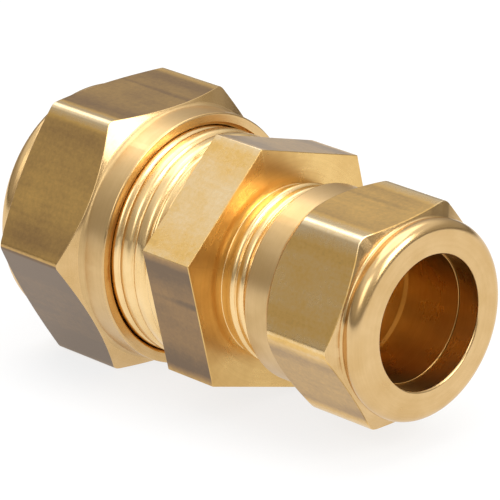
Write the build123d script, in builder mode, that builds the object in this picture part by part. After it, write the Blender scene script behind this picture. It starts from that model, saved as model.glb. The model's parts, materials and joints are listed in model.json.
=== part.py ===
"""A reducing compression coupling for copper pipe: a hexagon body, two compression nuts and two olives.

The coupling lies with its axis level along X, the small end towards +X and a corner of the body lowest.
The origin is on the surface that it lies on, below the middle of its length. Sizes are in millimetres.
"""
import os
from dataclasses import dataclass
from math import cos, radians, sqrt, tan

from build123d import *

# Pipes that the two ends take, and the waterway between them
large_pipe_diameter = 22.0
small_pipe_diameter = 15.0
waterway_diameter = 13.4

# Body
body_across_flats = 27.0
body_hex_length = 7.3
body_roll = -17.0
large_socket_depth = 16.0
small_socket_depth = 12.0

# Threaded spigots: wall outside the pipe socket, and the length that shows when the nut is finger tight
large_spigot_wall = 2.1
large_thread_shown = 6.8
large_relief_width = 0.8
large_relief_depth = 0.6
small_spigot_wall = 2.85
small_thread_shown = 5.0

# Large nut
large_nut_across_flats = 30.0
large_nut_length = 18.4
large_nut_corner_radius = 0.9
large_nut_roll = 0.0
large_lip_length = 2.6
large_collar_diameter = 28.2
large_collar_length = 2.54
large_skirt_length = 3.4
large_skirt_diameter = 29.4
large_shoulder_angle = 34.0

# Small nut
small_nut_across_flats = 23.0
small_nut_length = 17.3
small_nut_corner_radius = 1.1
small_nut_roll = 4.0
small_lip_length = 2.6
small_collar_diameter = 22.65
small_collar_length = 2.5
small_skirt_length = 3.7
small_skirt_diameter = 22.7
small_shoulder_angle = 43.0

# Turned collar at the outer end of both nuts, with a bead that is rounded off by two cones
collar_bead_width = 1.0
collar_bead_corner = 0.29
neck_depth = 0.5
bevel_angle = 20.0

# Olives
large_olive_length = 8.5
large_olive_wall = 1.4
large_olive_seat_depth = 1.0
small_olive_length = 7.7
small_olive_wall = 1.2
small_olive_seat_depth = 1.4
olive_end_wall = 0.25
seat_angle = 30.0

# Radial clearances, and the gap between an olive and its seats measured square to the cone
pipe_clearance = 0.1
lip_clearance = 0.2
thread_clearance = 0.12
seat_gap = 0.1

seat_slope = tan(radians(seat_angle))
seat_gap_radial = seat_gap / cos(radians(seat_angle))

# Stations along X, from the large end to the small one, and the height of the axis
overall_length = (
    large_nut_length + large_thread_shown + body_hex_length + small_thread_shown + small_nut_length
)
large_face_x = -overall_length / 2
small_face_x = overall_length / 2
hex_left_x = large_face_x + large_nut_length + large_thread_shown
hex_right_x = hex_left_x + body_hex_length


def lowest_reach(across_flats, roll):
    """How far a hexagon with sharp corners reaches below its centre when it is rolled by an angle."""
    corner = across_flats / sqrt(3)
    return max(corner * cos(radians(roll + 60 * side + 90)) for side in range(6))


axis_height = max(
    lowest_reach(body_across_flats, body_roll),
    large_nut_across_flats / 2,
    small_nut_across_flats / 2,
)
fitting_axis = Axis((0, 0, axis_height), (1, 0, 0))


@dataclass(frozen=True)
class End:
    """One end of the coupling. Stations are counted inwards from the nut's outer face."""

    face_x: float
    inward: int
    pipe_diameter: float
    spigot_wall: float
    across_flats: float
    nut_length: float
    corner_radius: float
    roll: float
    lip_length: float
    collar_diameter: float
    collar_length: float
    skirt_length: float
    skirt_diameter: float
    shoulder_angle: float
    olive_length: float
    olive_wall: float
    olive_seat_depth: float

    @property
    def pipe_bore(self):
        """Radius of the olive and the socket that the pipe slides into."""
        return self.pipe_diameter / 2 + pipe_clearance

    @property
    def lip_bore(self):
        return self.pipe_diameter / 2 + lip_clearance

    @property
    def thread_radius(self):
        """Radius of the spigot over the crests of its thread."""
        return self.pipe_bore + self.spigot_wall

    @property
    def nut_bore(self):
        return self.thread_radius + thread_clearance

    @property
    def olive_end_radius(self):
        return self.pipe_bore + olive_end_wall

    @property
    def seat_radius(self):
        """Radius of both seats where the end faces of the olive lie."""
        return self.olive_end_radius + seat_gap_radial

    @property
    def olive_start(self):
        return self.lip_length + (self.seat_radius - self.lip_bore) / seat_slope

    @property
    def olive_stop(self):
        return self.olive_start + self.olive_length

    @property
    def mouth(self):
        """Station of the end face of the body."""
        return self.olive_stop - self.olive_seat_depth

    @property
    def mouth_radius(self):
        return self.seat_radius + self.olive_seat_depth * seat_slope

    @property
    def profile_plane(self):
        """Plane through the axis: across is the station inwards from the face, up is the radius."""
        return Plane(
            origin=(self.face_x, 0, axis_height), x_dir=(self.inward, 0, 0), z_dir=(0, -self.inward, 0)
        )

    @property
    def section_plane(self):
        """Plane across the axis at the nut's end with the lower X."""
        low_x = min(self.face_x, self.face_x + self.inward * self.nut_length)
        return Plane(origin=(low_x, 0, axis_height), x_dir=(0, 1, 0), z_dir=(1, 0, 0))

    def x_at(self, station):
        return self.face_x + self.inward * station


large_end = End(
    face_x=large_face_x,
    inward=1,
    pipe_diameter=large_pipe_diameter,
    spigot_wall=large_spigot_wall,
    across_flats=large_nut_across_flats,
    nut_length=large_nut_length,
    corner_radius=large_nut_corner_radius,
    roll=large_nut_roll,
    lip_length=large_lip_length,
    collar_diameter=large_collar_diameter,
    collar_length=large_collar_length,
    skirt_length=large_skirt_length,
    skirt_diameter=large_skirt_diameter,
    shoulder_angle=large_shoulder_angle,
    olive_length=large_olive_length,
    olive_wall=large_olive_wall,
    olive_seat_depth=large_olive_seat_depth,
)
small_end = End(
    face_x=small_face_x,
    inward=-1,
    pipe_diameter=small_pipe_diameter,
    spigot_wall=small_spigot_wall,
    across_flats=small_nut_across_flats,
    nut_length=small_nut_length,
    corner_radius=small_nut_corner_radius,
    roll=small_nut_roll,
    lip_length=small_lip_length,
    collar_diameter=small_collar_diameter,
    collar_length=small_collar_length,
    skirt_length=small_skirt_length,
    skirt_diameter=small_skirt_diameter,
    shoulder_angle=small_shoulder_angle,
    olive_length=small_olive_length,
    olive_wall=small_olive_wall,
    olive_seat_depth=small_olive_seat_depth,
)


def compression_nut(end):
    """A nut turned from hexagon bar: collar, neck, bevels and skirt outside, lip, seat and bore inside."""
    corner = end.across_flats / sqrt(3)
    shoulder_slope = 1 / tan(radians(end.shoulder_angle))
    skirt_start = end.nut_length - end.skirt_length
    skirt_radius = end.skirt_diameter / 2
    bevel_slope = 1 / tan(radians(bevel_angle))
    collar_radius = end.collar_diameter / 2
    neck_radius = collar_radius - neck_depth

    with BuildPart() as nut:
        # Hexagon bar with slightly rounded corners
        with BuildSketch(end.section_plane) as bar:
            RegularPolygon(end.across_flats / 2, 6, major_radius=False, rotation=end.roll)
            fillet(bar.vertices(), radius=end.corner_radius)
        extrude(amount=end.nut_length)

        # Outside turned to shape
        with BuildSketch(end.profile_plane):
            with BuildLine():
                Polyline(
                    (0, 0),
                    (0, collar_radius - collar_bead_width),
                    (collar_bead_corner, collar_radius - collar_bead_corner),
                    (collar_bead_width, collar_radius),
                    (end.collar_length, neck_radius),
                    (end.collar_length + (corner - neck_radius) / bevel_slope, corner),
                    (skirt_start - (corner - skirt_radius) / shoulder_slope, corner),
                    (skirt_start, skirt_radius),
                    (end.nut_length, skirt_radius),
                    (end.nut_length, 0),
                    close=True,
                )
            make_face()
        revolve(axis=fitting_axis, mode=Mode.INTERSECT)

        # Lip that guides the pipe, cone that presses on the olive, bore for the male thread
        seat_end = end.lip_length + (end.nut_bore - end.lip_bore) / seat_slope
        with BuildSketch(end.profile_plane):
            with BuildLine():
                Polyline(
                    (0, 0),
                    (0, end.lip_bore),
                    (end.lip_length, end.lip_bore),
                    (seat_end, end.nut_bore),
                    (end.nut_length, end.nut_bore),
                    (end.nut_length, 0),
                    close=True,
                )
            make_face()
        revolve(axis=fitting_axis, mode=Mode.SUBTRACT)
    return nut


def olive(end):
    """A ring with a cone at each end, which the nut squeezes between its seat and the mouth of the body."""
    cone_run = (end.olive_wall - olive_end_wall) / seat_slope
    land_radius = end.pipe_bore + end.olive_wall
    with BuildPart() as ring:
        with BuildSketch(end.profile_plane):
            with BuildLine():
                Polyline(
                    (end.olive_start, end.pipe_bore),
                    (end.olive_start, end.olive_end_radius),
                    (end.olive_start + cone_run, land_radius),
                    (end.olive_stop - cone_run, land_radius),
                    (end.olive_stop, end.olive_end_radius),
                    (end.olive_stop, end.pipe_bore),
                    close=True,
                )
            make_face()
        revolve(axis=fitting_axis)
    return ring


# Body: hexagon bar turned down to a spigot at each end, then bored from both ends
body_corner = body_across_flats / sqrt(3)
large_mouth_x = large_end.x_at(large_end.mouth)
small_mouth_x = small_end.x_at(small_end.mouth)
large_relief_x = hex_left_x - large_relief_width
axial_plane = Plane(origin=(0, 0, axis_height), x_dir=(1, 0, 0), z_dir=(0, -1, 0))

with BuildPart() as coupling_body:
    with BuildSketch(Plane(origin=(large_mouth_x, 0, axis_height), x_dir=(0, 1, 0), z_dir=(1, 0, 0))):
        RegularPolygon(body_across_flats / 2, 6, major_radius=False, rotation=body_roll)
    extrude(amount=small_mouth_x - large_mouth_x)

    # Spigots turned down on both sides of the hexagon, the large one with a relief for its thread
    with BuildSketch(axial_plane):
        with BuildLine():
            Polyline(
                (large_mouth_x, 0),
                (large_mouth_x, large_end.thread_radius),
                (large_relief_x - large_relief_depth, large_end.thread_radius),
                (large_relief_x, large_end.thread_radius - large_relief_depth),
                (hex_left_x, large_end.thread_radius - large_relief_depth),
                (hex_left_x, body_corner),
                (hex_right_x, body_corner),
                (hex_right_x, small_end.thread_radius),
                (small_mouth_x, small_end.thread_radius),
                (small_mouth_x, 0),
                close=True,
            )
        make_face()
    revolve(axis=fitting_axis, mode=Mode.INTERSECT)

    # Olive seats, pipe sockets with their stops, and the waterway between them
    waterway_radius = waterway_diameter / 2
    large_seat_run = (large_end.mouth_radius - large_end.pipe_bore) / seat_slope
    small_seat_run = (small_end.mouth_radius - small_end.pipe_bore) / seat_slope
    shoulder_x = large_mouth_x + large_socket_depth
    pipe_stop_x = small_mouth_x - small_socket_depth
    with BuildSketch(axial_plane):
        with BuildLine():
            Polyline(
                (large_mouth_x, 0),
                (large_mouth_x, large_end.mouth_radius),
                (large_mouth_x + large_seat_run, large_end.pipe_bore),
                (shoulder_x, large_end.pipe_bore),
                (shoulder_x, waterway_radius),
                (pipe_stop_x, waterway_radius),
                (pipe_stop_x, small_end.pipe_bore),
                (small_mouth_x - small_seat_run, small_end.pipe_bore),
                (small_mouth_x, small_end.mouth_radius),
                (small_mouth_x, 0),
                close=True,
            )
        make_face()
    revolve(axis=fitting_axis, mode=Mode.SUBTRACT)

large_nut = compression_nut(large_end)
small_nut = compression_nut(small_end)
large_olive = olive(large_end)
small_olive = olive(small_end)

coupling_body.part.label = "coupling_body"
large_nut.part.label = "large_nut"
small_nut.part.label = "small_nut"
large_olive.part.label = "large_olive"
small_olive.part.label = "small_olive"

os.makedirs("parts", exist_ok=True)
for piece in (coupling_body, large_nut, small_nut, large_olive, small_olive):
    export_step(piece.part, f"parts/{piece.part.label}.step")
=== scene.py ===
"""Looks of a brass compression coupling: threaded body and nuts, olives, materials, studio and camera."""

import json
import math

import bpy
import numpy as np
from mathutils import Matrix, Vector


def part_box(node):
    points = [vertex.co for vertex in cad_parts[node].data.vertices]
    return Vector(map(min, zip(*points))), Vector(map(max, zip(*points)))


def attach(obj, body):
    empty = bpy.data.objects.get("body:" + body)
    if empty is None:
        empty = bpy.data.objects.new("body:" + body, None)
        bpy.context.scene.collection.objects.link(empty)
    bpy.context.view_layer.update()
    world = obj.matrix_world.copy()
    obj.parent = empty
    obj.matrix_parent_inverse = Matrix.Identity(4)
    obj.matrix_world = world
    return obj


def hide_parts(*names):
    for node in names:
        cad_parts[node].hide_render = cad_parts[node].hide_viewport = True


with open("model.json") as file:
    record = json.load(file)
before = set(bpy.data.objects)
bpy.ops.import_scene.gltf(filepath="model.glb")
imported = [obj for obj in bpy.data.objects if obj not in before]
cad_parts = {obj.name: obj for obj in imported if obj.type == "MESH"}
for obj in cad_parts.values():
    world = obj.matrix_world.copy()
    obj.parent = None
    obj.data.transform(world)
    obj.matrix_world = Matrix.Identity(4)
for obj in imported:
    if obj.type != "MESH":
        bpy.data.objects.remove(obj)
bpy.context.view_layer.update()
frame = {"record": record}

# Millimetres in the outlines below, metres in Blender
MM = 0.001


def x_range(node):
    """First and last X of a CAD node, in millimetres."""
    low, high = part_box(node)
    return low.x / MM, high.x / MM


mounts = {mount["name"]: mount for mount in frame["record"]["mounts"]}
axis_z = mounts["small_pipe"]["pos_m"][2] / MM
large_pipe_bore = mounts["large_pipe"]["dims"]["r_mm"]
small_pipe_bore = mounts["small_pipe"]["dims"]["r_mm"]
large_face_x, large_skirt_x = x_range("large_nut")
small_skirt_x, small_face_x = x_range("small_nut")
large_mouth_x, small_mouth_x = x_range("coupling_body")

# Zones of the outlines, in the order of the material slots
ZONES = ("turned", "bar", "skirt", "thread", "bore")

# Rounded edges, each as a radius and the steps of its arc
SHARP = (0.0, 0)
BORE_ROUNDING = 0.3
BORE_EDGE = (BORE_ROUNDING, 4)
NECK_EDGE = (0.9, 10)
HEX_EDGE = (0.14, 4)
SKIRT_FILLET = (0.9, 8)
SKIRT_EDGE = (0.22, 5)
SMALL_EDGE = (0.1, 2)
BODY_EDGE = (0.1, 3)
LIP_EDGE = (0.04, 2)
OLIVE_EDGE = (0.04, 3)
OLIVE_LAND_EDGE = (0.6, 6)
# Most of a straight stretch that the arc at one of its ends takes up
ARC_SHARE = 0.48

# Hexagons: half the width across flats, corner rounding and roll in degrees from Y towards Z, then the film
# on each of the six flats, partly real film and partly painted shade that is thickest on the flat facing down
# towards the camera, and how far it is worn off at each corner, first the one before the first flat
HEX_SIDES = 6
SIDE_ANGLE = math.pi / 3
HALF_SIDE = math.pi / 6
HALF_SIDE_DEGREES = 30.0
FLAT_STEPS = 16
CORNER_STEPS = 8
LARGE_HEX = {
    "apothem": 15.0, "rounding": 1.0, "roll": 0.0,
    "film_and_shade": (0.4, 0.68, 0.55, 0.97, 0.6, 0.45), "wear": (0.5, 0.7, 0.95, 0.12, 0.15, 0.5),
}
SMALL_HEX = {
    "apothem": 11.5, "rounding": 1.4, "roll": 4.0,
    "film_and_shade": (0.45, 0.5, 0.33, 0.62, 0.5, 0.35), "wear": (0.9, 0.95, 0.95, 0.55, 0.8, 0.9),
}
BODY_HEX = {
    "apothem": 13.5, "rounding": 0.1, "roll": -17.0,
    "film_and_shade": (0.3, 0.6, 0.22, 0.86, 0.5, 0.4), "wear": (0.6, 0.7, 0.7, 0.3, 0.4, 0.6),
}
# The film gets thicker towards the corners, from a share of the way out from the middle of a flat
FILM_RISE = 0.16
FILM_RISE_START = 0.45
FILM_RISE_WIDTH = 0.35
# Wear at a corner has a width, from its rounding and a margin, fades over it and ends some widths out
WEAR_SHARE = 0.9
WEAR_MARGIN = 0.1
WEAR_END = 1.5

# Body hexagon, from the ends of the nuts and the lengths of thread that show
LARGE_THREAD_SHOWN = 6.8
SMALL_THREAD_SHOWN = 5.0
HEX_LEFT_X = large_skirt_x + LARGE_THREAD_SHOWN
HEX_RIGHT_X = small_skirt_x - SMALL_THREAD_SHOWN

# Threads: crest radius, depth, pitch and the X of a crest at the angle where the thread faces the camera
CREST_ANGLE = math.radians(150.6)
LARGE_CREST_OFFSET = 5.2
SMALL_CREST_OFFSET = 1.5
LARGE_THREAD = {"crest": 13.2, "depth": 0.6, "pitch": 2.2, "crest_x": HEX_LEFT_X - LARGE_CREST_OFFSET}
SMALL_THREAD = {"crest": 10.45, "depth": 0.5, "pitch": 1.6, "crest_x": HEX_RIGHT_X + SMALL_CREST_OFFSET}
SAMPLES_PER_PITCH = 18
THREAD_PLAY = 0.12
LEAD_IN = 0.6
# Share of half a pitch between crest and root, and how full the crest is
FLANK_SHARE = 0.94
CREST_POWER = 4
# Reliefs on the body beside its hexagon
RELIEF_WIDTH = 0.8
LARGE_RELIEF_X = HEX_LEFT_X - RELIEF_WIDTH
SMALL_RELIEF_X = HEX_RIGHT_X + RELIEF_WIDTH

# Nuts, in stations counted inwards from the outer face
LARGE_NUT = {
    "hex": LARGE_HEX, "thread": LARGE_THREAD, "face_x": large_face_x, "inward": 1.0,
    "length": large_skirt_x - large_face_x, "lip_bore": 11.2, "lip_length": 2.95,
    "collar": 14.1, "bead": 1.1, "neck": 2.54,
    "skirt_length": 3.4, "skirt_radius": 14.7, "shoulder_angle": 34.0,
}
SMALL_NUT = {
    "hex": SMALL_HEX, "thread": SMALL_THREAD, "face_x": small_face_x, "inward": -1.0,
    "length": small_face_x - small_skirt_x, "lip_bore": 7.7, "lip_length": 2.95,
    "collar": 11.45, "bead": 1.3, "neck": 2.5,
    "skirt_length": 3.7, "skirt_radius": 11.35, "shoulder_angle": 43.0,
}
# Collar: a round bead that turns over its top, then a soft neck before the bevel of the hexagon
BEAD_TURN = math.radians(115.0)
BEAD_STEPS = 18
BEVEL_ANGLE = 20.0
# Mouth of a nut, and the plain length between its thread and its seat
MOUTH_BEVEL = 0.3
PLAIN_LENGTH = 0.8
SEAT_SLOPE = math.tan(math.radians(30.0))

# Inside of the body: a seat and a socket for the pipe at each end, and the waterway between them
WATERWAY = 6.7
LARGE_SOCKET_DEPTH = 16.0
SMALL_SOCKET_DEPTH = 12.0
LARGE_STOP_X = large_mouth_x + LARGE_SOCKET_DEPTH
SMALL_STOP_X = small_mouth_x - SMALL_SOCKET_DEPTH
LARGE_SEAT_FLARE = 0.94
SMALL_SEAT_FLARE = 1.17
LARGE_SEAT_MOUTH = large_pipe_bore + LARGE_SEAT_FLARE
SMALL_SEAT_MOUTH = small_pipe_bore + SMALL_SEAT_FLARE
LARGE_SEAT_X = large_mouth_x + (LARGE_SEAT_MOUTH - large_pipe_bore) / SEAT_SLOPE
SMALL_SEAT_X = small_mouth_x - (SMALL_SEAT_MOUTH - small_pipe_bore) / SEAT_SLOPE

# Olives: wall at the ends and at the land
OLIVE_END_WALL = 0.12
LARGE_OLIVE_WALL = 1.4
SMALL_OLIVE_WALL = 1.2

# Weight of large faces in the shading, where 50 is even
NORMAL_WEIGHT = 60


# Hexagons
def first_flat(hexagon):
    """Direction of the first flat of a hexagon."""
    return math.radians(hexagon["roll"] + HALF_SIDE_DEGREES)


def sector_angles(hexagon):
    """Angles of the columns round a hexagon, closer together on its rounded corners."""
    apothem, rounding = hexagon["apothem"], hexagon["rounding"]
    flat_end = math.atan((apothem - rounding) * math.tan(HALF_SIDE) / apothem)
    flat = np.linspace(-flat_end, flat_end, FLAT_STEPS + 1)[:-1]
    corner = np.linspace(flat_end, SIDE_ANGLE - flat_end, CORNER_STEPS + 1)[:-1]
    sector = first_flat(hexagon) + np.concatenate([flat, corner])
    return np.concatenate([sector + side * SIDE_ANGLE for side in range(HEX_SIDES)])


def hex_reach(hexagon, angle):
    """Radius of the rounded hexagon in one direction."""
    apothem, rounding = hexagon["apothem"], hexagon["rounding"]
    across = abs((angle - first_flat(hexagon) + HALF_SIDE) % SIDE_ANGLE - HALF_SIDE)
    if math.tan(across) * apothem <= (apothem - rounding) * math.tan(HALF_SIDE):
        return apothem / math.cos(across)
    centre = (apothem - rounding) / math.cos(HALF_SIDE)
    off = HALF_SIDE - across
    return centre * math.cos(off) + math.sqrt(rounding**2 - (centre * math.sin(off)) ** 2)


def film_and_shade_attribute(piece, hexagon):
    """Marks the film on each flat, partly real film and partly painted shade, which is worn off at the
    corners of the hexagon.
    """
    co = np.empty(len(piece.data.vertices) * 3)
    piece.data.vertices.foreach_get("co", co)
    co = co.reshape(-1, 3) / MM
    angle = np.arctan2(co[:, 2] - axis_z, co[:, 1]) - math.radians(hexagon["roll"])
    flat = np.floor(angle / SIDE_ANGLE).astype(int) % HEX_SIDES
    corner = np.round(angle / SIDE_ANGLE).astype(int) % HEX_SIDES
    outwards = np.abs(angle % SIDE_ANGLE - HALF_SIDE) / HALF_SIDE
    rise = FILM_RISE * np.clip((outwards - FILM_RISE_START) / FILM_RISE_WIDTH, 0.0, 1.0)
    film_and_shade = np.array(hexagon["film_and_shade"])[flat] + rise
    off = np.abs((angle + HALF_SIDE) % SIDE_ANGLE - HALF_SIDE) * hexagon["apothem"]
    worn_width = WEAR_SHARE * hexagon["rounding"] + WEAR_MARGIN
    near = np.clip(WEAR_END - off / worn_width, 0.0, 1.0)
    wear = np.array(hexagon["wear"])[corner]
    layer = piece.data.attributes.new("film_and_shade", "FLOAT", "POINT")
    layer.data.foreach_set("value", (film_and_shade * (1 - wear * near)).astype(np.float32))


# Threads
def thread_root(thread):
    """Radius at the root of a thread on the body."""
    return thread["crest"] - thread["depth"]


def thread_wave(thread, x, angle):
    """Height of a right-hand thread from 0 at its root to 1 at its crest."""
    turn = (angle - CREST_ANGLE) / (2 * math.pi)
    phase = ((x - thread["crest_x"]) / thread["pitch"] - turn + 0.5) % 1.0
    away = min(abs(2 * phase - 1), FLANK_SHARE)
    return 1.0 - (away / FLANK_SHARE) ** CREST_POWER


def thread_points(thread, first_x, last_x, angle, play, limit, zone):
    """Outline of a thread between two places, clear of its mate by some play and held to a limit."""
    count = int(abs(last_x - first_x) / thread["pitch"] * SAMPLES_PER_PITCH)
    root = thread_root(thread) + play
    points = []
    for step in range(1, count):
        x = first_x + (last_x - first_x) * step / count
        radius = root + thread["depth"] * thread_wave(thread, x, angle)
        points.append((x, limit(x, radius), SHARP, zone))
    return points


# Rings
def rounded(corners):
    """Turns corners (x, radius, edge, zone) of a closed outline into points, with arcs at rounded edges."""
    points, zones = [], []
    count = len(corners)
    for index, (x, r, (rounding, steps), zone) in enumerate(corners):
        here = Vector((x, r))
        if not steps:
            points.append((x, r))
            zones.append(zone)
            continue
        back = Vector(corners[index - 1][:2]) - here
        ahead = Vector(corners[(index + 1) % count][:2]) - here
        half = back.angle(ahead) / 2
        reach = min(rounding / math.tan(half), ARC_SHARE * back.length, ARC_SHARE * ahead.length)
        start = here + back.normalized() * reach
        end = here + ahead.normalized() * reach
        weight = math.sin(half)
        for step in range(steps + 1):
            t = step / steps
            shares = ((1 - t) ** 2, 2 * weight * t * (1 - t), t**2)
            point = (start * shares[0] + here * shares[1] + end * shares[2]) / sum(shares)
            points.append(tuple(point))
            zones.append(zone)
    return points, zones


def ring(name, angles, outline):
    """Makes a closed ring from one outline for each angle. Every outline has the same number of points."""
    columns, zones = [], []
    for angle in angles:
        points, zones = rounded(outline(angle))
        columns.append([(x, r * math.cos(angle), axis_z + r * math.sin(angle)) for x, r in points])
    verts = np.array(columns) * MM
    count, size = verts.shape[:2]
    here = np.arange(count * size).reshape(count, size)
    ahead = np.roll(here, -1, 1)
    faces = np.stack([here, ahead, np.roll(ahead, -1, 0), np.roll(here, -1, 0)], -1).reshape(-1, 4)
    flat = verts.reshape(-1, 3)
    corners = flat[faces] - flat.mean(0)
    volume = np.einsum("ij,ij->i", np.cross(corners[:, 0], corners[:, 1]), corners[:, 2]).sum()
    if volume <= 0:
        faces = faces[:, ::-1]
    mesh = bpy.data.meshes.new(name)
    mesh.from_pydata(flat.tolist(), [], faces.tolist())
    mesh.polygons.foreach_set("use_smooth", [True] * len(faces))
    mesh.polygons.foreach_set("material_index", np.tile([ZONES.index(zone) for zone in zones], count))
    mesh.update()
    piece = bpy.data.objects.new(name, mesh)
    bpy.context.scene.collection.objects.link(piece)
    normals = piece.modifiers.new("normals", "WEIGHTED_NORMAL")
    normals.weight = NORMAL_WEIGHT
    return piece


# Nuts
def bead_corners(nut):
    """Outline of the bead on the collar of a nut, from the face over its top."""
    corners = []
    for step in range(BEAD_STEPS + 1):
        turn = BEAD_TURN * step / BEAD_STEPS
        station = nut["bead"] * (1 - math.cos(turn))
        radius = nut["collar"] - nut["bead"] * (1 - math.sin(turn))
        corners.append((station, radius, SHARP, "turned"))
    return corners


def nut_outline(nut):
    """Outline of a nut at any angle: collar, bevel, flat, shoulder and skirt, then thread, seat and lip."""
    thread, length = nut["thread"], nut["length"]
    bevel_slope = 1 / math.tan(math.radians(BEVEL_ANGLE))
    shoulder_slope = 1 / math.tan(math.radians(nut["shoulder_angle"]))
    skirt_start = length - nut["skirt_length"]
    skirt_radius = nut["skirt_radius"]
    bead = bead_corners(nut)
    bead_end, bead_foot = bead[-1][:2]
    neck_radius = bead_foot + (nut["neck"] - bead_end) * math.tan(math.pi / 2 - BEAD_TURN)
    bore = thread["crest"] + THREAD_PLAY
    seat_end = nut["lip_length"] + (bore - nut["lip_bore"]) / SEAT_SLOPE

    def x_at(station):
        return nut["face_x"] + nut["inward"] * station

    def limit(x, radius):
        """Opens the thread at the mouth and lets it run out before the seat."""
        station = (x - nut["face_x"]) * nut["inward"]
        opening = bore + MOUTH_BEVEL - (length - station)
        run_out = bore - max(0.0, station - seat_end - PLAIN_LENGTH)
        return max(min(radius, bore), opening, run_out)

    def outline(angle):
        reach = hex_reach(nut["hex"], angle)
        corners = [(0.0, nut["lip_bore"], BORE_EDGE, "turned")]
        corners += bead
        corners += [
            (nut["neck"], neck_radius, NECK_EDGE, "turned"),
            (nut["neck"] + (reach - neck_radius) / bevel_slope, reach, HEX_EDGE, "bar"),
            (skirt_start - (reach - skirt_radius) / shoulder_slope, reach, HEX_EDGE, "turned"),
            (skirt_start, skirt_radius, SKIRT_FILLET, "skirt"),
            (length, skirt_radius, SKIRT_EDGE, "turned"),
            (length, bore + MOUTH_BEVEL, SMALL_EDGE, "bore"),
        ]
        placed = [(x_at(station), radius, edge, zone) for station, radius, edge, zone in corners]
        placed += thread_points(thread, x_at(length), x_at(seat_end), angle, THREAD_PLAY, limit, "bore")
        placed.append((x_at(seat_end), bore, SHARP, "bore"))
        placed.append((x_at(nut["lip_length"]), nut["lip_bore"], LIP_EDGE, "bore"))
        return placed

    return outline


# Body
def spigot_limit(thread, mouth_x, relief_x):
    """Bevels the thread of a spigot at its mouth and lets it run out at the relief."""

    def limit(x, radius):
        lead = thread["crest"] - LEAD_IN + abs(x - mouth_x)
        run_out = thread_root(thread) + abs(relief_x - x)
        return min(radius, lead, run_out)

    return limit


large_limit = spigot_limit(LARGE_THREAD, large_mouth_x, LARGE_RELIEF_X)
small_limit = spigot_limit(SMALL_THREAD, small_mouth_x, SMALL_RELIEF_X)


def body_outline(angle):
    """Outline of the body: spigots and hexagon outside, then seats, sockets and waterway inside."""
    reach = hex_reach(BODY_HEX, angle)
    large_root = thread_root(LARGE_THREAD)
    small_root = thread_root(SMALL_THREAD)
    corners = [
        (large_mouth_x, LARGE_SEAT_MOUTH, SMALL_EDGE, "turned"),
        (large_mouth_x, LARGE_THREAD["crest"] - LEAD_IN, SMALL_EDGE, "thread"),
    ]
    corners += thread_points(LARGE_THREAD, large_mouth_x, LARGE_RELIEF_X, angle, 0.0, large_limit, "thread")
    corners += [
        (LARGE_RELIEF_X, large_root, SHARP, "thread"),
        (HEX_LEFT_X, large_root, BODY_EDGE, "turned"),
        (HEX_LEFT_X, reach, BODY_EDGE, "bar"),
        # The right face of the hexagon takes the bore brass, whose more orange colour paints a reflection of
        # the small nut
        (HEX_RIGHT_X, reach, BODY_EDGE, "bore"),
        (HEX_RIGHT_X, small_root, BODY_EDGE, "thread"),
        (SMALL_RELIEF_X, small_root, SHARP, "thread"),
    ]
    corners += thread_points(SMALL_THREAD, SMALL_RELIEF_X, small_mouth_x, angle, 0.0, small_limit, "thread")
    corners += [
        (small_mouth_x, SMALL_THREAD["crest"] - LEAD_IN, SMALL_EDGE, "turned"),
        (small_mouth_x, SMALL_SEAT_MOUTH, SMALL_EDGE, "bore"),
        (SMALL_SEAT_X, small_pipe_bore, SMALL_EDGE, "bore"),
        (SMALL_STOP_X, small_pipe_bore, SMALL_EDGE, "bore"),
        (SMALL_STOP_X, WATERWAY, SMALL_EDGE, "bore"),
        (LARGE_STOP_X, WATERWAY, SMALL_EDGE, "bore"),
        (LARGE_STOP_X, large_pipe_bore, SMALL_EDGE, "bore"),
        (LARGE_SEAT_X, large_pipe_bore, SMALL_EDGE, "bore"),
    ]
    return corners


# Olives
def olive_outline(node, bore, wall):
    """Outline of an olive, the same at every angle: a ring with a cone at each end."""
    first, last = x_range(node)
    run = (wall - OLIVE_END_WALL) / SEAT_SLOPE

    def outline(angle):
        return [
            (first, bore, OLIVE_EDGE, "bore"),
            (first, bore + OLIVE_END_WALL, OLIVE_EDGE, "turned"),
            (first + run, bore + wall, OLIVE_LAND_EDGE, "turned"),
            (last - run, bore + wall, OLIVE_LAND_EDGE, "turned"),
            (last, bore + OLIVE_END_WALL, OLIVE_EDGE, "turned"),
            (last, bore, OLIVE_EDGE, "bore"),
        ]

    return outline


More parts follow.
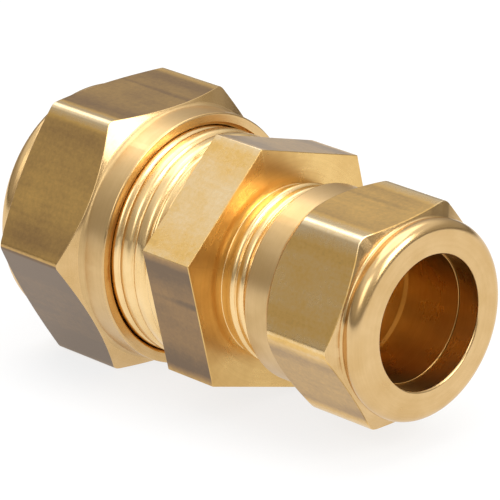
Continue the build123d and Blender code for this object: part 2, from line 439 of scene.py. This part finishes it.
# Materials
class Nodes:
    """Short ways to add and join nodes of one material."""

    def __init__(self, name):
        self.material = bpy.data.materials.new(name)
        self.material.use_nodes = True
        self.tree = self.material.node_tree
        self.shader = self.tree.nodes["Principled BSDF"]

    def add(self, kind, settings=None, **inputs):
        """Adds a node with its settings and inputs, where i0 means the first input."""
        node = self.tree.nodes.new(kind)
        for key, value in (settings or {}).items():
            setattr(node, key, value)
        for key, value in inputs.items():
            self.put(node, key, value)
        return node

    def put(self, node, key, value):
        """Joins an input of a node to a socket, or sets it to a plain value."""
        numbered = key[0] == "i" and key[1:].isdigit()
        socket = node.inputs[int(key[1:]) if numbered else key]
        if isinstance(value, bpy.types.NodeSocket):
            self.tree.links.new(value, socket)
        else:
            socket.default_value = value

    def math(self, operation, first, second=0.0):
        return self.add("ShaderNodeMath", {"operation": operation}, i0=first, i1=second).outputs[0]

    def weighted(self, first, share, second):
        """A share of the first value and the rest of the second."""
        part = self.math("MULTIPLY", first, share)
        return self.math("ADD", part, self.math("MULTIPLY", second, 1 - share))

    def noise(self, vector, scale, detail=3.0, roughness=0.55):
        inputs = {"Vector": vector, "Scale": scale, "Detail": detail, "Roughness": roughness}
        return self.add("ShaderNodeTexNoise", None, **inputs).outputs["Fac"]

    def spread(self, value, low, high, to_low=0.0, to_high=1.0):
        """Maps the range from low to high to another one, and stays inside it."""
        ranges = {"i1": low, "i2": high, "i3": to_low, "i4": to_high}
        return self.add("ShaderNodeMapRange", {"clamp": True}, i0=value, **ranges).outputs[0]

    def blend(self, share, first, second):
        return self.add("ShaderNodeMix", {"data_type": "RGBA"}, i0=share, i6=first, i7=second).outputs[2]

    def metal(self, shade, roughness, relief, strength, depth):
        """Makes the material a bare metal with some fine relief."""
        self.put(self.shader, "Base Color", shade)
        self.put(self.shader, "Metallic", 1.0)
        self.put(self.shader, "Roughness", roughness)
        bump = self.add("ShaderNodeBump", None, Height=relief, Strength=strength, Distance=depth)
        self.put(self.shader, "Normal", bump.outputs[0])
        return self.material


def colour(red, green, blue):
    """An opaque colour."""
    return (red, green, blue, 1.0)


def fill_ramp(ramp, stops):
    """Gives a colour ramp its stops, each with a position and a shade."""
    elements = ramp.color_ramp.elements
    for element, (position, shade) in zip(elements, (stops[0], stops[-1])):
        element.position = position
        element.color = colour(*shade)
    for position, shade in stops[1:-1]:
        elements.new(position).color = colour(*shade)


# Turned brass: stains in features to the metre, the share of the lines in its tone, and their depth in metres
STAIN_SCALE = 260.0
LINE_SHARE = 0.3
LINE_DEPTH = 0.00002
# Bar: streaks and bands are stretched along X, and all marks are in features to the metre. The grain is a
# share of streaks and the rest specks, and its relief has a strength and a depth in metres.
BAR_STRETCH = (0.06, 1.0, 1.0)
STREAK_SCALE = 1300.0
BAND_SCALE = 300.0
SPECK_SCALE = 2200.0
STREAK_SHARE = 0.4
GRAIN_STRENGTH = 0.3
GRAIN_DEPTH = 0.00003
# Clean brass, golden film, brown film and the thickest film; the brown end also paints the shade on the lower
# flats
FILM_AND_SHADE_STOPS = (
    (0.0, (0.85, 0.67, 0.42)),
    (0.42, (0.77, 0.49, 0.16)),
    (0.8, (0.34, 0.21, 0.10)),
    (1.0, (0.19, 0.13, 0.082)),
)


def lathe_place(nodes):
    """Place on the piece, and the same as X and distance from the axis, so that noise runs round the axis."""
    place = nodes.add("ShaderNodeTexCoord").outputs["Object"]
    split = nodes.add("ShaderNodeSeparateXYZ", None, Vector=place)
    y = split.outputs["Y"]
    z = nodes.math("SUBTRACT", split.outputs["Z"], axis_z * MM)
    squares = nodes.math("ADD", nodes.math("MULTIPLY", y, y), nodes.math("MULTIPLY", z, z))
    radius = nodes.math("SQRT", squares)
    turned = nodes.add("ShaderNodeCombineXYZ", None, X=split.outputs["X"], Y=radius, Z=0.0).outputs[0]
    return place, turned


def turned_brass(name, base, deep, rough, line_scale, bump):
    """Bright brass from the lathe: fine lines round the axis, with slight stains."""
    nodes = Nodes(name)
    place, turned = lathe_place(nodes)
    lines = nodes.noise(turned, line_scale, detail=4.0, roughness=0.7)
    stains = nodes.noise(place, STAIN_SCALE, detail=4.0)
    tone = nodes.weighted(lines, LINE_SHARE, stains)
    shade = nodes.blend(nodes.spread(tone, low=0.36, high=0.66), colour(*deep), colour(*base))
    roughness = nodes.spread(tone, low=0.3, high=0.7, to_low=rough + 0.07, to_high=rough - 0.05)
    return nodes.metal(shade, roughness, relief=lines, strength=bump, depth=LINE_DEPTH)


def bar_brass(name, rough, grain_depth, mottle, cloud_scale, seed):
    """Drawn hexagon bar: brass under a golden film, grey-brown where it is thick, with faint streaks. The
    film also carries painted shade, darkest on the flats facing down towards the camera.
    """
    nodes = Nodes(name)
    place = nodes.add("ShaderNodeTexCoord").outputs["Object"]
    mapping = nodes.add("ShaderNodeMapping", None, Vector=place, Location=seed, Scale=BAR_STRETCH)
    along = mapping.outputs[0]
    streaks = nodes.noise(along, STREAK_SCALE, detail=5.0, roughness=0.65)
    bands = nodes.noise(along, BAND_SCALE, detail=2.0)
    specks = nodes.noise(place, SPECK_SCALE, detail=3.0, roughness=0.7)
    clouds = nodes.noise(place, cloud_scale, detail=4.0)
    grain = nodes.weighted(streaks, STREAK_SHARE, specks)
    # Film of each flat, partly painted shade where a flat faces down towards the camera
    film_and_shade = nodes.add("ShaderNodeAttribute", {"attribute_name": "film_and_shade"}).outputs["Fac"]
    grain_film = nodes.spread(grain, low=0.25, high=0.75, to_low=-grain_depth, to_high=grain_depth)
    cloud_film = nodes.spread(clouds, low=0.25, high=0.75, to_low=-mottle, to_high=mottle)
    uneven = nodes.math("ADD", grain_film, cloud_film)
    evenness = nodes.spread(film_and_shade, low=0.2, high=0.9, to_low=1.0, to_high=0.35)
    film_and_shade = nodes.math("ADD", film_and_shade, nodes.math("MULTIPLY", uneven, evenness))
    film_and_shade = nodes.math("ADD", film_and_shade, nodes.spread(bands, low=0.27, high=0.36, to_low=0.2, to_high=0.0))
    ramp = nodes.add("ShaderNodeValToRGB", None, Fac=film_and_shade)
    fill_ramp(ramp, FILM_AND_SHADE_STOPS)
    roughness = nodes.spread(film_and_shade, low=0.0, high=0.5, to_low=rough - 0.1, to_high=rough)
    return nodes.metal(
        ramp.outputs["Color"], roughness, relief=grain, strength=GRAIN_STRENGTH, depth=GRAIN_DEPTH)


turned_material = turned_brass(
    "turned_brass", base=(0.73, 0.505, 0.25), deep=(0.64, 0.42, 0.18),
    rough=0.22, line_scale=5200.0, bump=0.2)
skirt_material = turned_brass(
    "skirt_brass", base=(0.71, 0.49, 0.24), deep=(0.60, 0.405, 0.18),
    rough=0.35, line_scale=3800.0, bump=0.3)
# Thread brass is lighter than the other brass, a lit copy that paints brighter highlights on the threads of
# the body
thread_painted_highlight_material = turned_brass(
    "thread_brass_painted_highlight", base=(0.94, 0.69, 0.36), deep=(0.87, 0.60, 0.27),
    rough=0.24, line_scale=4200.0, bump=0.1)
# Bore brass is lighter and more orange than the turned brass: painted light inside the bores, and on the
# right face of the body hexagon a painted orange reflection of the small nut
bore_painted_light_material = turned_brass(
    "bore_brass_painted_light", base=(0.80, 0.54, 0.21), deep=(0.65, 0.41, 0.145),
    rough=0.28, line_scale=3600.0, bump=0.3)
nut_bar = bar_brass(
    "nut_bar_brass", rough=0.32, grain_depth=0.17, mottle=0.1, cloud_scale=200.0,
    seed=(0.011, 0.002, 0.0))
body_bar = bar_brass(
    "body_bar_brass", rough=0.3, grain_depth=0.18, mottle=0.12, cloud_scale=300.0,
    seed=(0.0, 0.004, 0.003))


def dress(piece, bar):
    """Gives a piece one material for each zone, in the order of ZONES."""
    for material in (turned_material, bar, skirt_material, thread_painted_highlight_material, bore_painted_light_material):
        piece.data.materials.append(material)


# Pieces
large_olive_outline = olive_outline("large_olive", large_pipe_bore, LARGE_OLIVE_WALL)
small_olive_outline = olive_outline("small_olive", small_pipe_bore, SMALL_OLIVE_WALL)
large_nut = ring("large_nut_turned", sector_angles(LARGE_HEX), nut_outline(LARGE_NUT))
small_nut = ring("small_nut_turned", sector_angles(SMALL_HEX), nut_outline(SMALL_NUT))
body = ring("body_threaded", sector_angles(BODY_HEX), body_outline)
large_olive = ring("large_olive_ring", sector_angles(LARGE_HEX), large_olive_outline)
small_olive = ring("small_olive_ring", sector_angles(SMALL_HEX), small_olive_outline)

for piece, hexagon in ((large_nut, LARGE_HEX), (small_nut, SMALL_HEX), (body, BODY_HEX)):
    film_and_shade_attribute(piece, hexagon)
for piece, bar, node, rides_on, slot in (
    (large_nut, nut_bar, "large_nut", "large_nut", "nut_brass"),
    (small_nut, nut_bar, "small_nut", "small_nut", "nut_brass"),
    (body, body_bar, "coupling_body", "body", "body_brass"),
    (large_olive, nut_bar, "large_olive", "large_olive", "olive_brass"),
    (small_olive, nut_bar, "small_olive", "small_olive", "olive_brass"),
):
    dress(piece, bar)
    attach(piece, rides_on)
    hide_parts(node)


# Studio: a white floor, a pale surround and large soft lamps, in metres and watts
FLOOR_HALF = 3.0
FLOOR_WHITE_SHARE = 0.78
# Surround by height: a dark strip at the horizon, a dim band that darkens the flats, and white overhead
DIM_BAND = (0.46, 0.43, 0.38)
WORLD_STOPS = (
    (0.08, (0.08, 0.06, 0.04)),
    (0.15, DIM_BAND),
    (0.40, DIM_BAND),
    (0.62, (0.95, 0.95, 0.95)),
)
LAMPS = (
    {"name": "key_overhead", "place": (-0.12, 0.1, 0.9), "size": 0.9, "watts": 4.0},
    {"name": "edge_upper_left", "place": (-0.62, 0.1, 0.72), "size": 0.5, "watts": 0.7},
    {"name": "side_right", "place": (0.75, 0.15, 0.55), "size": 0.5, "watts": 4.0},
    {"name": "front_fill", "place": (0.3, -0.8, 0.6), "size": 0.5, "watts": 1.5},
)


def make_floor():
    """White floor that keeps the shadow and looks whiter to the camera and in reflections."""
    corners = [(-FLOOR_HALF, -FLOOR_HALF, 0), (FLOOR_HALF, -FLOOR_HALF, 0),
               (FLOOR_HALF, FLOOR_HALF, 0), (-FLOOR_HALF, FLOOR_HALF, 0)]
    mesh = bpy.data.meshes.new("floor")
    mesh.from_pydata(corners, [], [(0, 1, 2, 3)])
    floor = bpy.data.objects.new("floor", mesh)
    bpy.context.scene.collection.objects.link(floor)
    nodes = Nodes("floor_white")
    nodes.put(nodes.shader, "Base Color", colour(0.92, 0.92, 0.92))
    nodes.put(nodes.shader, "Roughness", 0.9)
    nodes.put(nodes.shader, "Specular IOR Level", 0.1)
    path = nodes.add("ShaderNodeLightPath")
    seen = nodes.math("MAXIMUM", path.outputs["Is Camera Ray"], path.outputs["Is Glossy Ray"])
    seen = nodes.math("MAXIMUM", seen, path.outputs["Is Transmission Ray"])
    white = nodes.add("ShaderNodeEmission", None, Color=colour(1, 1, 1), Strength=1.0)
    share = nodes.math("MULTIPLY", seen, FLOOR_WHITE_SHARE)
    mix = nodes.add("ShaderNodeMixShader", None, i0=share, i1=nodes.shader.outputs[0], i2=white.outputs[0])
    nodes.put(nodes.tree.nodes["Material Output"], "Surface", mix.outputs[0])
    mesh.materials.append(nodes.material)


def make_world():
    """Surround whose brightness depends on the height of the direction."""
    world = bpy.data.worlds.new("studio")
    world.use_nodes = True
    tree = world.node_tree
    place = tree.nodes.new("ShaderNodeTexCoord")
    split = tree.nodes.new("ShaderNodeSeparateXYZ")
    ramp = tree.nodes.new("ShaderNodeValToRGB")
    fill_ramp(ramp, WORLD_STOPS)
    tree.links.new(place.outputs["Generated"], split.inputs[0])
    tree.links.new(split.outputs["Z"], ramp.inputs[0])
    tree.links.new(ramp.outputs[0], tree.nodes["Background"].inputs["Color"])
    bpy.context.scene.world = world


def make_lamp(name, place, size, watts):
    """A square soft lamp at a place, turned to the middle of the coupling."""
    data = bpy.data.lights.new(name, "AREA")
    data.shape = "SQUARE"
    data.size = size
    data.energy = watts
    lamp = bpy.data.objects.new(name, data)
    lamp.location = place
    lamp.rotation_mode = "QUATERNION"
    middle = Vector((0.0, 0.0, axis_z * MM))
    lamp.rotation_quaternion = (middle - Vector(place)).to_track_quat("-Z", "Y")
    bpy.context.scene.collection.objects.link(lamp)


make_floor()
make_world()
for lamp in LAMPS:
    make_lamp(**lamp)

# Camera, placed in millimetres from the middle of the small bore, where its rounded edge ends
CAMERA_OFFSET = Vector((311.67, -324.92, 183.88))
CAMERA_AZIMUTH = 46.25
CAMERA_ELEVATION = 21.28
CAMERA_ROLL = -0.77
SENSOR_WIDTH = 36.0
FOCAL_LENGTH = 324.0
CLIP_START = 0.01


def make_camera():
    """Camera at the angle, distance and roll of the photograph."""
    data = bpy.data.cameras.new("camera")
    data.sensor_width = SENSOR_WIDTH
    data.lens = FOCAL_LENGTH
    data.clip_start = CLIP_START
    camera = bpy.data.objects.new("camera", data)
    bpy.context.scene.collection.objects.link(camera)
    turn, lift = math.radians(CAMERA_AZIMUTH), math.radians(CAMERA_ELEVATION)
    back = Vector((math.sin(turn) * math.cos(lift), -math.cos(turn) * math.cos(lift), math.sin(lift)))
    level = (-back).to_track_quat("-Z", "Y").to_matrix().to_4x4()
    roll = Matrix.Rotation(math.radians(CAMERA_ROLL), 4, "Z")
    place = (Vector((small_face_x - BORE_ROUNDING, 0.0, axis_z)) + CAMERA_OFFSET) * MM
    camera.matrix_world = Matrix.Translation(place) @ level @ roll
    bpy.context.scene.camera = camera


make_camera()
bpy.context.scene.view_settings.view_transform = "Standard"
